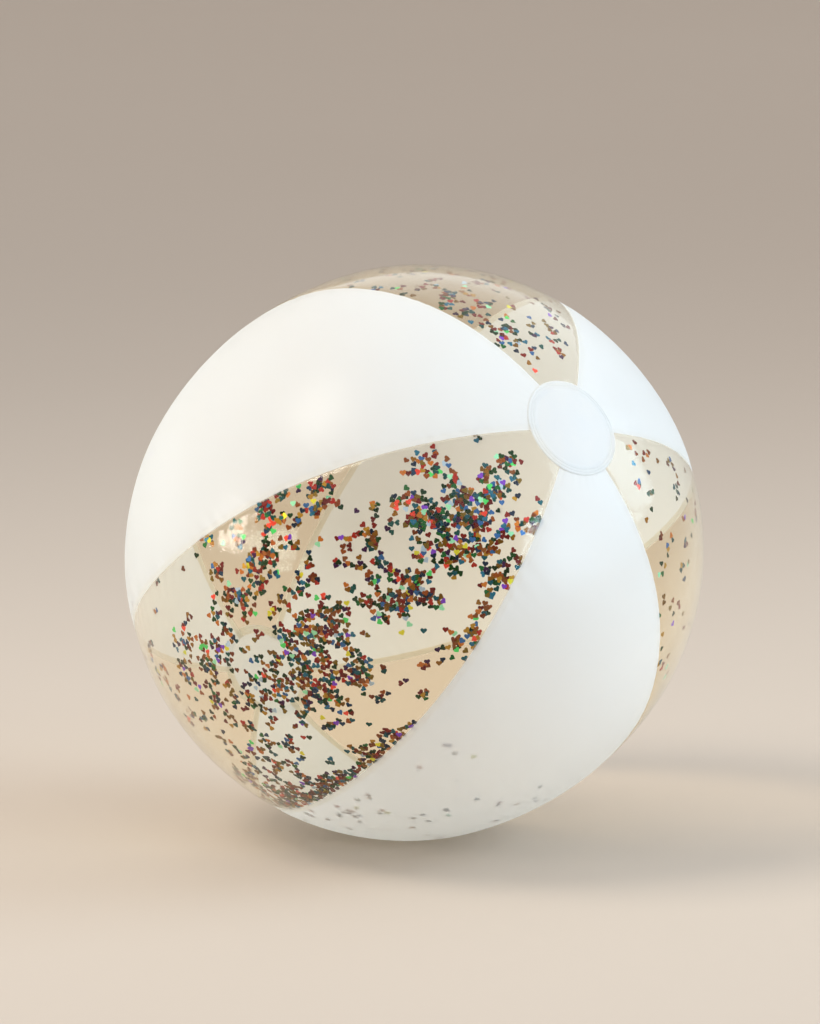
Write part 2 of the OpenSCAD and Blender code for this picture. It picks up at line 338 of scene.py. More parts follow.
def make_gore(node, seam, clear):
    """One gore between seam number seam and the next, with half a lap beyond each."""
    start = SEAM_PHASE + seam * GORE_ANGLE
    arcs = np.linspace(TIP_ARC, -TIP_ARC, round(2 * TIP_ARC / ROW_PITCH) + 1)
    az = gore_columns(arcs, start)
    lat = np.repeat(latitude(arcs)[:, None], az.shape[1], axis=1)
    keep = None
    if node == "gore_white_right":
        az, lat, keep = open_recess(arcs, az)
    out = meridian(lat)[0]
    first = out * np.sin(az - start)
    second = out * np.sin(start + GORE_ANGLE - az)
    gap = np.minimum(first, second)
    if clear:
        depth = CLEAR_DEPTH * (1 - smooth((gap - WELD_OUT) / WELD_FADE))
    else:
        depth = LAND_DEPTH * (1 - smooth((gap - LAND_OUT) / LAND_FADE))
    arc = arc_to(lat)
    depth = depth - seam_relief(first, arc, seam) - seam_relief(-second, arc, (seam + 1) % 6)
    depth = depth - film_relief(az, lat)
    outer, inner = skin(az, lat, depth), skin(az, lat, depth + FILM_T)
    if node == "gore_white_under":
        rest_on_ground(outer, 0)
        rest_on_ground(inner, FILM_T)
    obj = shell(node.replace("gore", "film"), outer, inner, keep=keep,
                values={"gap": gap / MM, "along": arc / MM})
    finish_mesh(obj)
    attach(obj, "ball")
    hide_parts(node)
    return obj


# ---------- end caps ----------

CAP_OUT = CAP_T + LAYER_GAP
CAP_COARSE, CAP_FINE = 1 * MM, 0.25 * MM  # pitch of the grid's rings, inside and over the weld
CAP_FINE_R = 27 * MM
CAP_SPOKES = 180
CROWN = 0.3 * MM                          # the middle swells up to this
WELD_STEP, WELD_STEP_W = 0.1 * MM, 1.2 * MM   # down from the gores' tips to the middle
RING_INSETS = (1.85 * MM, 3.85 * MM)      # middles of the two pressed rings
RING_DEPTH, RING_W = 0.22 * MM, 0.32 * MM
RIM_DROP, RIM_W = 0.3 * MM, 0.6 * MM
LAP_BUMP, LAP_BUMP_W = 0.1 * MM, 2.2 * MM     # where a lap of the gores lies under the cap
WELD_WAVES, WELD_FOLDS = 0.035 * MM, 46
DISC_WAVES, DISC_FOLDS, DISC_PITCH = 0.05 * MM, 5, 4.5 * MM


def cap_relief(outs, az):
    """How far a cap's outer face stands proud, at a distance from the pole."""
    rise = CROWN * (1 - smooth(outs / TIP_R))
    rise = rise - WELD_STEP * (1 - smooth((outs - TIP_R + 1 * MM) / WELD_STEP_W))
    for inset in RING_INSETS:
        rise = rise - RING_DEPTH * np.exp(-((outs - CAP_R + inset) / RING_W) ** 2)
    rise = rise - RIM_DROP * smooth((outs - CAP_R + RIM_W) / RIM_W)
    to_seam = (az - SEAM_PHASE + GORE_ANGLE / 2) % GORE_ANGLE - GORE_ANGLE / 2
    over_gores = smooth((outs - TIP_R + 1 * MM) / (1.5 * MM))
    laps = np.exp(-(outs * np.sin(to_seam) / LAP_BUMP_W) ** 2)
    folds = np.sin(WELD_FOLDS * az + 3 * np.sin(2 * az))
    waves = np.sin(DISC_FOLDS * az + 1) * np.sin(outs / DISC_PITCH) * (outs / CAP_R)
    return rise + over_gores * (LAP_BUMP * laps + WELD_WAVES * folds) + DISC_WAVES * waves


def make_cap(node, side):
    """A cap on the pole that side, 1 or -1, points to."""
    coarse = np.arange(0, CAP_FINE_R + CAP_FINE / 2, CAP_COARSE)
    fine = np.arange(CAP_FINE_R + CAP_FINE, CAP_R + CAP_FINE / 2, CAP_FINE)
    outs = np.concatenate([coarse, fine])
    az = np.linspace(0, TURN, CAP_SPOKES, endpoint=False)
    outs, az = np.meshgrid(outs, az, indexing="ij")
    rise = cap_relief(outs, az)
    lat = side * np.arccos(outs / LONG_R)
    obj = shell(node.replace("end_cap", "cap"),
                skin(az, lat, -CAP_OUT - rise),
                skin(az, lat, -CAP_OUT - np.minimum(rise, WELD_STEP) + CAP_T),
                wraps=True, values={"gap": (CAP_R - outs) / MM})
    weld_points(obj)
    finish_mesh(obj)
    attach(obj, "ball")
    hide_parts(node)
    return obj


# ---------- the valve: local +Z outward, 0 on the ball's outer face ----------

FLANGE_R = 17 * MM
FLANGE_T = 0.8 * MM
STEM_TOP = -0.6 * MM
STEM_L = 12 * MM
STEM_R = 4.5 * MM
BORE_R = 2.6 * MM
COLLAR_R, COLLAR_H = 5.7 * MM, 1.6 * MM
SKIRT_T = 0.6 * MM
HINGE_X = 7 * MM
KNUCKLE_R = 0.8 * MM
LUG_W, LUG_H = 3 * MM, 1.6 * MM
HEAD_R, HEAD_T, HEAD_GAP = 4.7 * MM, 1.4 * MM, 0.2 * MM
BAND_R = 2.56 * MM
PLUG_L, SEAL_H, TIP_END_R = 4 * MM, 1.2 * MM, 1.6 * MM
STRAP_W, STRAP_T = 3 * MM, 0.9 * MM
FLAP_R, FLAP_T, FLAP_GAP = 3.7 * MM, 0.5 * MM, 0.1 * MM
RIB, RIB_PITCH = 0.12 * MM, 3.5 * MM      # moulded rings on the flange
RIM_ROUND, RIM_ROUND_W = 0.25 * MM, 0.6 * MM
SKIRT_FOLD = 0.22 * MM
GRIP_HEIGHTS = (4.6 * MM, 6.2 * MM)       # of the two rings on the stem, from its foot
# Up a grip ring: height, and share of GRIP that it stands out
GRIP, GRIP_PROFILE = 0.18 * MM, ((0, 0), (0.25 * MM, 1), (0.65 * MM, 1), (0.9 * MM, 0))
# Across the ring pressed into the plug's head: radius, and depth
HEAD_RING = ((3.1 * MM, 0), (2.9 * MM, 0.2 * MM), (2.4 * MM, 0.2 * MM), (2.2 * MM, 0.05 * MM))
SOFT_EDGE = 0.12 * MM
STEM_BOTTOM = STEM_TOP - STEM_L
HINGE_Z = STEM_TOP - LUG_H / 2
HEAD_Z = STEM_TOP + HEAD_GAP

valve_point = skin(VALVE_AZ, VALVE_LAT)
valve_out = normal(VALVE_AZ, VALVE_LAT)
valve_y = np.array([-math.sin(VALVE_AZ), math.cos(VALVE_AZ), 0]) @ POLE_AXES
valve_x = np.cross(valve_y, valve_out)
VALVE_AXES = np.array([valve_x, valve_y, valve_out])


def from_valve(points):
    """From the valve's own frame to the ground frame."""
    return np.asarray(points) @ VALVE_AXES + valve_point


def soften(points, size, closed=True):
    """A polygon's points with each corner rounded off by about size."""
    points = np.asarray(points, float)
    made, count, steps = [], len(points), 4
    for k, corner in enumerate(points):
        if not closed and k in (0, count - 1):
            made.append(corner)
            continue
        before, after = points[k - 1] - corner, points[(k + 1) % count] - corner
        reach = min(size, 0.45 * np.linalg.norm(before), 0.45 * np.linalg.norm(after))
        start = corner + before / np.linalg.norm(before) * reach
        end = corner + after / np.linalg.norm(after) * reach
        for t in np.linspace(0, 1, steps):
            made.append((1 - t) ** 2 * start + 2 * t * (1 - t) * corner + t * t * end)
    return np.array(made)


def lathe(name, profile, segments=72):
    """Turns a closed outline of (radius, height) points about the valve's axis."""
    profile = np.asarray(profile)
    angles = np.linspace(0, TURN, segments, endpoint=False)
    radius, height = profile[:, 0][:, None], profile[:, 1][:, None]
    points = np.stack([radius * np.cos(angles), radius * np.sin(angles),
                       np.repeat(height, segments, axis=1)], -1)
    index = np.arange(len(profile) * segments).reshape(len(profile), segments)
    index = np.concatenate([index, index[:, :1]], axis=1)
    index = np.concatenate([index, index[:1]], axis=0)
    quads = np.stack([index[:-1, :-1], index[:-1, 1:], index[1:, 1:], index[1:, :-1]], -1)
    obj = new_object(name, from_valve(points.reshape(-1, 3)), quads.reshape(-1, 4))
    weld_points(obj)
    point_outward(obj)
    return obj


def prism(name, outline, width):
    """A block with an outline in the valve's X-Z plane, width long across it, with soft edges."""
    outline = np.asarray(outline)
    centre = outline.mean(0)
    shrink = outline + (centre - outline) * (SOFT_EDGE / np.abs(outline - centre).max())
    layers = [(shrink, -width / 2), (outline, -width / 2 + SOFT_EDGE),
              (outline, width / 2 - SOFT_EDGE), (shrink, width / 2)]
    count = len(outline)
    verts = [(x, y, z) for ring, y in layers for x, z in ring]
    faces = [[count * k + i, count * k + (i + 1) % count,
              count * (k + 1) + (i + 1) % count, count * (k + 1) + i]
             for k in range(len(layers) - 1) for i in range(count)]
    faces.append(list(range(count))[::-1])
    faces.append([count * (len(layers) - 1) + i for i in range(count)])
    obj = new_object(name, from_valve(verts), faces)
    point_outward(obj)
    return obj


def join(first, other):
    """Adds the other's closed solid to the first object."""
    edit_mesh(first, lambda work: work.from_mesh(other.data))
    bpy.data.objects.remove(other)
    return first


def place_valve_piece(obj, body, node):
    finish_mesh(obj, sharp=40)
    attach(obj, body)
    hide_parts(node)
    return obj


def make_flange():
    """A ring under the film around the recess, with moulded ribs on its inner face."""
    outs = np.linspace(RECESS_R + LAYER_GAP, FLANGE_R - LAYER_GAP, 30)
    angles = np.linspace(0, TURN, 120, endpoint=False)
    outs, angles = np.meshgrid(outs, angles, indexing="ij")
    lat = latitude(arc_to(VALVE_LAT) - outs * np.cos(angles))
    az = VALVE_AZ + outs * np.sin(angles) / meridian(lat)[0]
    edge = np.minimum(outs - RECESS_R, FLANGE_R - outs)
    round_off = RIM_ROUND * (1 - smooth(edge / RIM_ROUND_W))
    rib = RIB * np.cos(TURN * (outs - RECESS_R) / RIB_PITCH) ** 6
    obj = shell("valve_ring", skin(az, lat, CLEAR_DEPTH + round_off),
                skin(az, lat, CLEAR_DEPTH + FLANGE_T - round_off + rib - RIB), wraps=True)
    return place_valve_piece(obj, "ball", "valve_flange")


def make_skirt():
    """The thin cone of the skirt, with two shallow folds. On the real valve it rolls as the stem is
    pulled out; this mesh keeps one fixed shape.
    """
    top_r = RECESS_R + SKIRT_T
    top_z = -CLEAR_DEPTH - FLANGE_T - top_r ** 2 / (2 * SHORT_R) - LAYER_GAP
    foot_r, foot_z = COLLAR_R, STEM_BOTTOM + COLLAR_H + LAYER_GAP
    t = np.linspace(0, 1, 34)
    fold = SKIRT_FOLD * np.sin(2 * TURN * t) * np.sin(math.pi * t)
    radius = top_r - SKIRT_T / 2 + (foot_r - top_r) * t + fold
    height = top_z + (foot_z - top_z) * t
    wall = SKIRT_T / 2 * (0.75 + 0.25 * np.cos(TURN * t))
    outside = np.stack([radius + wall, height], -1)
    inside = np.stack([radius - wall, height], -1)[::-1]
    obj = lathe("valve_cone", np.concatenate([outside, inside]))
    finish_mesh(obj, sharp=40)
    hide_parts("valve_skirt")
    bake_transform(obj)
    return obj


def make_stem():
    """A tube with a foot collar, two grip rings and the lug that the strap is hinged beside."""
    outline = [(BORE_R, STEM_BOTTOM), (COLLAR_R, STEM_BOTTOM), (COLLAR_R, STEM_BOTTOM + COLLAR_H),
               (STEM_R, STEM_BOTTOM + COLLAR_H)]
    for height in GRIP_HEIGHTS:
        outline += [(STEM_R + GRIP * out, STEM_BOTTOM + height + up) for up, out in GRIP_PROFILE]
    outline += [(STEM_R, STEM_TOP), (BORE_R + 0.8 * MM, STEM_TOP),
                (BORE_R, STEM_TOP - 0.4 * MM)]
    tube = lathe("valve_tube", soften(outline, 0.2 * MM))
    inner_end, outer_end = -STEM_R + 1 * MM, -HINGE_X + KNUCKLE_R + 0.2 * MM
    lug = prism("lug", soften([(inner_end, STEM_TOP - LUG_H), (outer_end, STEM_TOP - LUG_H),
                               (outer_end, STEM_TOP), (inner_end, STEM_TOP)], 0.25 * MM), LUG_W)
    return place_valve_piece(join(tube, lug), "stem", "valve_stem")


def make_flap():
    """The check flap, a little dished, with a bead along its hinge."""
    top, dish = STEM_BOTTOM - FLAP_GAP, 0.12 * MM
    middle, bottom = top - FLAP_T / 2, top - FLAP_T
    outline = soften([(0, bottom), (FLAP_R, bottom), (FLAP_R, top), (BORE_R + 0.3 * MM, top),
                      (BORE_R - 0.2 * MM, top - dish), (0, top - dish)], SOFT_EDGE)
    outline[:, 0] = np.maximum(outline[:, 0], 0)
    disc = lathe("valve_flap", outline, segments=60)
    angles = np.linspace(0, TURN, 16, endpoint=False)
    bead = [(-FLAP_R + FLAP_T / 2 * math.cos(a), middle + FLAP_T / 2 * math.sin(a)) for a in angles]
    return place_valve_piece(join(disc, prism("bead", bead, LUG_W)), "flap", "valve_check_flap")


def make_plug():
    """The plug: a head with a pressed ring, a sealing band and a tapered tip."""
    top = HEAD_Z + HEAD_T
    pressed = [(radius, top - depth) for radius, depth in HEAD_RING]
    outline = soften([(0, STEM_TOP - PLUG_L), (TIP_END_R, STEM_TOP - PLUG_L),
                      (BAND_R, STEM_TOP - SEAL_H), (BAND_R, HEAD_Z), (HEAD_R, HEAD_Z),
                      (HEAD_R, top - 0.35 * MM), (HEAD_R - 0.4 * MM, top), *pressed,
                      (0, top - 0.1 * MM)], 0.18 * MM)
    outline[:, 0] = np.maximum(outline[:, 0], 0)
    return place_valve_piece(lathe("valve_stopper", outline), "plug", "valve_plug")


def make_strap():
    """The bent strap from the edge of the plug's head to the knuckle of its hinge."""
    left, right, roof = -HINGE_X - KNUCKLE_R, -HINGE_X - KNUCKLE_R + STRAP_T, HEAD_Z + STRAP_T
    knuckle = [(-HINGE_X + KNUCKLE_R * math.cos(a), HINGE_Z + KNUCKLE_R * math.sin(a))
               for a in np.radians(np.linspace(75, -180, 18))]
    corner = soften([(left, HINGE_Z), (left, roof), (-HEAD_R, roof)], 0.5 * MM, closed=False)
    under = soften([(-HEAD_R, HEAD_Z), (right, HEAD_Z), (right, HINGE_Z + KNUCKLE_R)],
                   0.2 * MM, closed=False)
    outline = knuckle + [tuple(p) for p in corner[1:]] + [tuple(p) for p in under[:-1]]
    return place_valve_piece(prism("valve_strap", outline, STRAP_W), "plug", "plug_strap")


# ---------- confetti ----------

HEART_W = 4 * MM
HEART_T = 0.15 * MM
HEART_DEPTH = 0.9 * MM                    # below the ball's outer face
HEART_LAYER = 0.25 * MM                   # between hearts that lie on each other
MOST_LAYERS = 5
CLOSEST = 0.4                             # between two hearts, in heart widths
TIGHTEST, TIGHTENING = 0.2, 0.05          # a clump that is hard to fill may go closer, down to
                                          # this share of it, by so much for each try per heart
LAPPED = 0.8                              # nearer than this many widths, hearts lie on each other
CROWDED_GORE = 4                          # most hearts have slid to this one
STRAND, CROWDED_STRAND = 1.5, 4           # hearts in a strand, on average
STRAND_STEP = (0.7, 1.05)                 # from one of its hearts to the next, in heart widths
SEAM_MARGIN = math.radians(0.7)
VALVE_CLEARANCE = 26 * MM                 # no hearts nearer to the valve than this
FLOOR_CLEARANCE = 1.2 * MM
LOOSE_SHARE, UPRIGHT_SPREAD = 0.45, 0.6   # hearts that lie any way up; turn of the others
HEART_TILT = 0.07
HEART_SIZES = (0.98, 1.12)
COLOURS = ("red", "copper", "gold", "green", "teal", "navy")
COLOUR_SHARES = (0.18, 0.17, 0.18, 0.17, 0.14, 0.16)

# Where the hearts cling: gore (counted by its first seam), degrees across from the gore's
# middle line, latitude, spread across, spread in latitude, and how many
CLUMPS = [
    (4, -12, 73, 6, 3, 30), (4, 3, 70, 4, 3, 16), (4, 27, 70, 2, 2.5, 14), (4, 0, 64, 4, 3, 74),
    (4, 14, 64, 6, 3, 32), (4, -1, 58, 4.5, 3, 72), (4, 13, 58, 4, 3, 50), (4, -5, 52, 5, 2.5, 92),
    (4, 7, 53, 3.5, 2.5, 32), (4, 22, 54, 4, 4, 42), (4, -21, 56, 5, 4, 28), (4, -9, 46, 3, 3, 12),
    (4, 3, 47, 3, 2, 8), (4, -8, 40, 3, 3, 32), (4, 9, 40, 5, 3, 76), (4, 26, 39, 2.5, 4, 44),
    (4, 0, 36, 5, 3, 62), (4, -21, 34, 3, 5, 38), (4, 11, 34, 5, 3, 22), (4, 2, 28, 9, 3, 22),
    (4, -24, 21, 4, 4, 80), (4, -17, 16, 5, 4, 56), (4, -8, 21, 5, 4, 46), (4, 6, 21, 5, 3, 44),
    (4, 1, 15, 5, 3.5, 120), (4, 10, 15, 4, 4, 52), (4, -22, 9, 5, 3, 46), (4, 3, 8, 5, 4, 82),
    (4, 13, 9, 4, 5, 36), (4, 25, 9, 4, 4, 30), (4, -14, 5, 3.5, 3, 48), (4, 3, 1, 5, 4, 84),
    (4, 28.6, 9, 0.5, 5, 44), (4, -9, -2, 5, 5, 48), (4, -10, -8, 4, 3, 36), (4, 3, -7, 5, 4, 48),
    (4, 14, -6, 4, 5, 38), (4, 22, -9, 4, 4, 60), (4, 28.5, -3, 0.6, 5, 60), (4, -2, -15, 5, 4, 36),
    (4, 28, -12, 1, 5, 66), (4, 26, -16, 3, 4, 56), (4, 17, -17, 5, 4, 40), (4, -18, -12, 8, 8, 32),
    (4, 27, -23, 2, 4, 46), (4, 2, -24, 8, 4, 20), (4, 22, -28, 5, 4, 34), (4, 28, -32, 1.5, 4, 20),
    (4, 0, 0, 20, 30, 60),
    (2, 17, 67, 6, 5, 36), (2, 22, 56, 4, 7, 30), (2, 12, 76, 6, 3, 10), (2, 0, 68, 9, 5, 24),
    (2, -14, 72, 7, 4, 14), (2, -16, 58, 7, 6, 18), (2, 8, 52, 9, 5, 24), (2, 20, 42, 7, 7, 34),
    (2, 0, 42, 10, 7, 24), (2, 4, 20, 14, 12, 40), (2, -24, -50, 4, 5, 28), (2, 0, -20, 16, 20, 24),
    (0, 14, 76, 6, 3, 9), (0, 0, 73, 6, 4, 9), (0, 16, 62, 6, 5, 12), (0, -12, 64, 6, 5, 9),
    (0, 4, 52, 10, 5, 16), (0, -24, 50, 3, 7, 12), (0, -22, 36, 5, 8, 10), (0, -6, 0, 16, 26, 30),
    (0, -18, -34, 8, 12, 30),
    (5, -24, -15, 3, 6, 14), (5, -18, -4, 6, 4, 10), (5, -4, 0, 8, 4, 8), (5, 9, 4, 4, 3, 5),
    (5, -22, 12, 3, 3, 5), (5, -8, -14, 6, 6, 8), (5, -4, -36, 14, 9, 40),
    (3, 6, -40, 16, 14, 40), (1, 0, 10, 16, 30, 24),
]


def heart_outline():
    """Eight points round each lobe, then the tip: 1 wide, pointing down."""
    lobe_x, lobe_y, lobe_r, tip = 0.23, 0.15, 0.27, -0.47
    notch = math.atan2(math.sqrt(lobe_r ** 2 - lobe_x ** 2), -lobe_x)
    to_tip = math.atan2(tip - lobe_y, -lobe_x)
    tangent = to_tip + math.acos(lobe_r / math.hypot(lobe_x, lobe_y - tip))
    right = [(lobe_x + lobe_r * math.cos(a), lobe_y + lobe_r * math.sin(a))
             for a in np.linspace(notch, tangent, 8)]
    left = [(-x, y) for x, y in right[:0:-1]]
    return np.array(right + [(0, tip)] + left)


def room_for(point, points, crowding):
    """Whether a heart at that point leaves those before it mostly in sight."""
    return not points or np.linalg.norm(np.array(points) - point, axis=1).min() > crowding


def scatter_hearts():
    """Azimuth and latitude of each heart. Hearts cling in short strands within each clump."""
    random = np.random.default_rng(11)
    places, points = [], []
    for seam, across, lat, wide, tall, count in CLUMPS:
        middle = SEAM_PHASE + (seam + 0.5) * GORE_ANGLE
        limit = GORE_ANGLE / 2 - SEAM_MARGIN
        strand = CROWDED_STRAND if seam == CROWDED_GORE else STRAND
        made, tries = 0, 0
        while made < count:
            a = math.radians(random.normal(across, wide))
            p = math.radians(random.normal(lat, tall))
            for _ in range(random.geometric(1 / strand)):
                out = float(meridian(p)[0])
                share = max(TIGHTEST, 1 - TIGHTENING * tries / count)
                tries += 1
                if made == count or abs(a) > limit or out < CAP_R:
                    break
                point = skin(middle + a, p)
                if room_for(point, points, HEART_W * CLOSEST * share):
                    places.append((middle + a, p))
                    points.append(point)
                    made += 1
                way, step = random.uniform(0, TURN), random.uniform(*STRAND_STEP) * HEART_W
                a += step * math.cos(way) / out
                p += step * math.sin(way) / RADIUS
    return np.array(places)


def lay_hearts(places):
    """How many hearts each heart lies over, as it falls onto those before it."""
    points = skin(places[:, 0], places[:, 1])
    layers = np.zeros(len(points), int)
    for k in range(1, len(points)):
        near = np.linalg.norm(points[:k] - points[k], axis=1) < LAPPED * HEART_W
        if near.any():
            layers[k] = min(layers[:k][near].max() + 1, MOST_LAYERS)
    return layers


def heart_prism():
    """Corners and faces of one heart of the nominal size, in its own frame."""
    outline = heart_outline() * HEART_W
    count = len(outline)
    corners = np.concatenate([np.column_stack([outline, np.zeros(count)]),
                              np.column_stack([outline, np.full(count, -HEART_T)])])
    sides = [[i, (i + 1) % count, count + (i + 1) % count, count + i] for i in range(count)]
    return corners, [list(range(count))[::-1], list(range(count, 2 * count))] + sides


def unit(vector):
    return vector / max(np.linalg.norm(vector), TINY)


def heart_axes(out, random):
    """Axes of a heart that clings to the skin where out is the normal, most of them upright."""
    up = np.array([0, 0, 1.0])
    up = unit(up - up.dot(out) * out)
    upright = random.random() > LOOSE_SHARE
    spin = random.normal(0, UPRIGHT_SPREAD) if upright else random.uniform(0, TURN)
    x_axis = math.cos(spin) * np.cross(up, out) + math.sin(spin) * up
    tilt = random.normal(0, HEART_TILT, 2)
    z_axis = unit(out + tilt[0] * x_axis + tilt[1] * np.cross(out, x_axis))
    x_axis = unit(x_axis - x_axis.dot(z_axis) * z_axis)
    return np.array([x_axis, np.cross(z_axis, x_axis), z_axis])


def make_confetti():
    """One object for each colour, with a tone from 0 to 1 on each heart."""
    places = scatter_hearts()
    from_recess = np.linalg.norm(skin(places[:, 0], places[:, 1]) - valve_point, axis=1)
    places = places[from_recess >= VALVE_CLEARANCE]
    layers = lay_hearts(places)
    random = np.random.default_rng(23)
    colours = random.choice(len(COLOURS), len(places), p=COLOUR_SHARES)
    corners, faces = heart_prism()
    built = {colour: ([], [], []) for colour in COLOURS}
    for (az, lat), layer, colour in zip(places, layers, colours):
        axes = heart_axes(normal(az, lat), random)
        centre = skin(az, lat, HEART_DEPTH + layer * HEART_LAYER)
        centre[2] = max(centre[2], FLOOR_CLEARANCE + layer * HEART_LAYER)
        size = random.uniform(*HEART_SIZES)
        verts, polys, tones = built[COLOURS[colour]]
        base = len(verts)
        verts.extend((corners * [size, size, 1]) @ axes + centre)
        polys.extend([[base + i for i in face] for face in faces])
        tones.extend([random.random()] * len(corners))
    made = {}
    for colour, (verts, polys, tones) in built.items():
        node = "confetti_" + colour
        obj = new_object("hearts_" + colour, verts, polys)
        point_outward(obj)
        add_values(obj, "tone", np.array(tones))
        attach(obj, "ball")
        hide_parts(node)
        made[colour] = obj
    return made


# ---------- materials ----------

class Nodes:
    """Short calls that build one material's node tree."""

    def __init__(self, name):
        self.material = bpy.data.materials.new(name)
        self.material.use_nodes = True
        self.tree = self.material.node_tree
        self.tree.nodes.clear()

    def add(self, kind, inputs=None, **settings):
        node = self.tree.nodes.new("ShaderNode" + kind)
        for key, value in settings.items():
            setattr(node, key, value)
        for key, value in (inputs or {}).items():
            if isinstance(value, bpy.types.NodeSocket):
                self.tree.links.new(value, node.inputs[key])
            else:
                node.inputs[key].default_value = value
        return node

    def maths(self, operation, a, b, clamp=False):
        return self.add("Math", {0: a, 1: b}, operation=operation, use_clamp=clamp).outputs[0]

    def value(self, name):
        return self.add("Attribute", attribute_name=name).outputs["Fac"]

    def place(self):
        return self.add("TexCoord").outputs["Object"]

    def noise(self, scale, detail=3.0, roughness=0.5):
        return self.add("TexNoise", {"Vector": self.place(), "Scale": scale, "Detail": detail,
                                     "Roughness": roughness}).outputs["Fac"]

    def spread(self, value, low, high, to_low, to_high):
        """Stretches the values from low to high over to_low to to_high, and clips the rest."""
        return self.add("MapRange", {"Value": value, "From Min": low, "From Max": high,
                                     "To Min": to_low, "To Max": to_high}).outputs["Result"]

    def steps(self, value, stops):
        """The colour of the last stop, a position and a colour, that the value has reached."""
        node = self.add("ValToRGB", {"Fac": value})
        node.color_ramp.interpolation = "CONSTANT"
        points = node.color_ramp.elements
        while len(points) < len(stops):
            points.new(1.0)
        for point, (position, colour) in zip(points, stops):
            point.position = position
            point.color = (*colour, 1)
        return node.outputs["Color"]

    def blend(self, share, a, b):
        """The colour a at share 0, and b at share 1."""
        node = self.add("Mix", {"Factor": share}, data_type="RGBA")
        for k, colour in ((6, a), (7, b)):
            if isinstance(colour, bpy.types.NodeSocket):
                self.tree.links.new(colour, node.inputs[k])
            else:
                node.inputs[k].default_value = (*colour, 1)
        return node.outputs[2]

    def bump(self, height, strength, distance):
        return self.add("Bump", {"Height": height, "Strength": strength,
                                 "Distance": distance}).outputs["Normal"]

    def mix(self, share, a, b):
        """The shader a at share 0, and b at share 1."""
        return self.add("MixShader", {0: share, 1: a, 2: b}).outputs[0]

    def band(self, value, low, high, soft):
        """1 between low and high, fading over soft beyond each."""
        rise = self.spread(value, low - soft, low, 0, 1)
        fall = self.spread(value, high, high + soft, 1, 0)
        return self.maths("MULTIPLY", rise, fall)

    def mottled(self, pattern, roughness, base, bump):
        """A plain surface whose roughness follows a pattern."""
        return self.add("BsdfPrincipled", {
            "Base Color": base, "Roughness": self.spread(pattern, 0.3, 0.7, *roughness),
            "Normal": bump}).outputs[0]

    def lets_through(self, surface, glow, glow_share, clear_share=0.0):
        """A surface that also glows with the light behind it, and is in part plain see-through."""
        lit = self.add("BsdfTranslucent", {"Color": (*glow, 1)}).outputs[0]
        soft = self.mix(glow_share, surface, lit)
        if clear_share == 0:
            return soft
        clear = self.add("BsdfTransparent", {"Color": (*SEEN_THROUGH, 1)}).outputs[0]
        return self.mix(clear_share, soft, clear)

    def done(self, surface):
        output = self.add("OutputMaterial")
        self.tree.links.new(surface, output.inputs["Surface"])
        return self.material


# Colours, in linear light
WHITE_TINTS = ((0.87, 0.89, 0.90), (0.90, 0.915, 0.925))
CAP_TINTS = ((0.78, 0.79, 0.80), (0.82, 0.82, 0.815))
CAP_RIM = (0.82, 0.815, 0.80)
VINYL_TINTS = ((0.74, 0.76, 0.75), (0.84, 0.85, 0.83))
WHITE_GLOW, VINYL_GLOW = (0.94, 0.94, 0.925), (0.80, 0.82, 0.80)
SEEN_THROUGH = (0.97, 0.97, 0.96)
CLEAR_TINT = (0.995, 0.966, 0.905)
HAZE_TINT, WELD_TINT = (0.94, 0.90, 0.80), (0.97, 0.92, 0.82)
STAGE_TINTS = ((0.49, 0.41, 0.335), (0.52, 0.44, 0.365))

# Shares of each film that glow with the light behind it, and that are plain see-through
WHITE_SHARES, CAP_SHARES, VINYL_SHARE = (0.54, 0.25), (0.50, 0.15), 0.35

SLANT_HAZE, STREAK_HAZE = 0.30, 0.02      # of the clear film, at the rim and in its streaks
STRIP_HAZE, LINE_HAZE = 0.02, 0.22        # of its weld, and of the line along the weld's edge
HEAD_ON = 0.012                           # share that the clear film mirrors, seen head on


def white_film():
    """Satin white film that lets a little light through, with a pressed weld line."""
    m = Nodes("white_film")
    grain = m.noise(900, 2)
    clouds = m.noise(9, 3)
    weld_line = m.band(m.value("gap"), 2.2, 2.6, 0.4)
    height = m.maths("SUBTRACT", m.maths("MULTIPLY", grain, 0.3),
                     m.maths("MULTIPLY", weld_line, 0.6))
    surface = m.mottled(clouds, (0.30, 0.38), m.blend(clouds, *WHITE_TINTS),
                        m.bump(height, 0.35, 0.2 * MM))
    return m.done(m.lets_through(surface, WHITE_GLOW, *WHITE_SHARES))


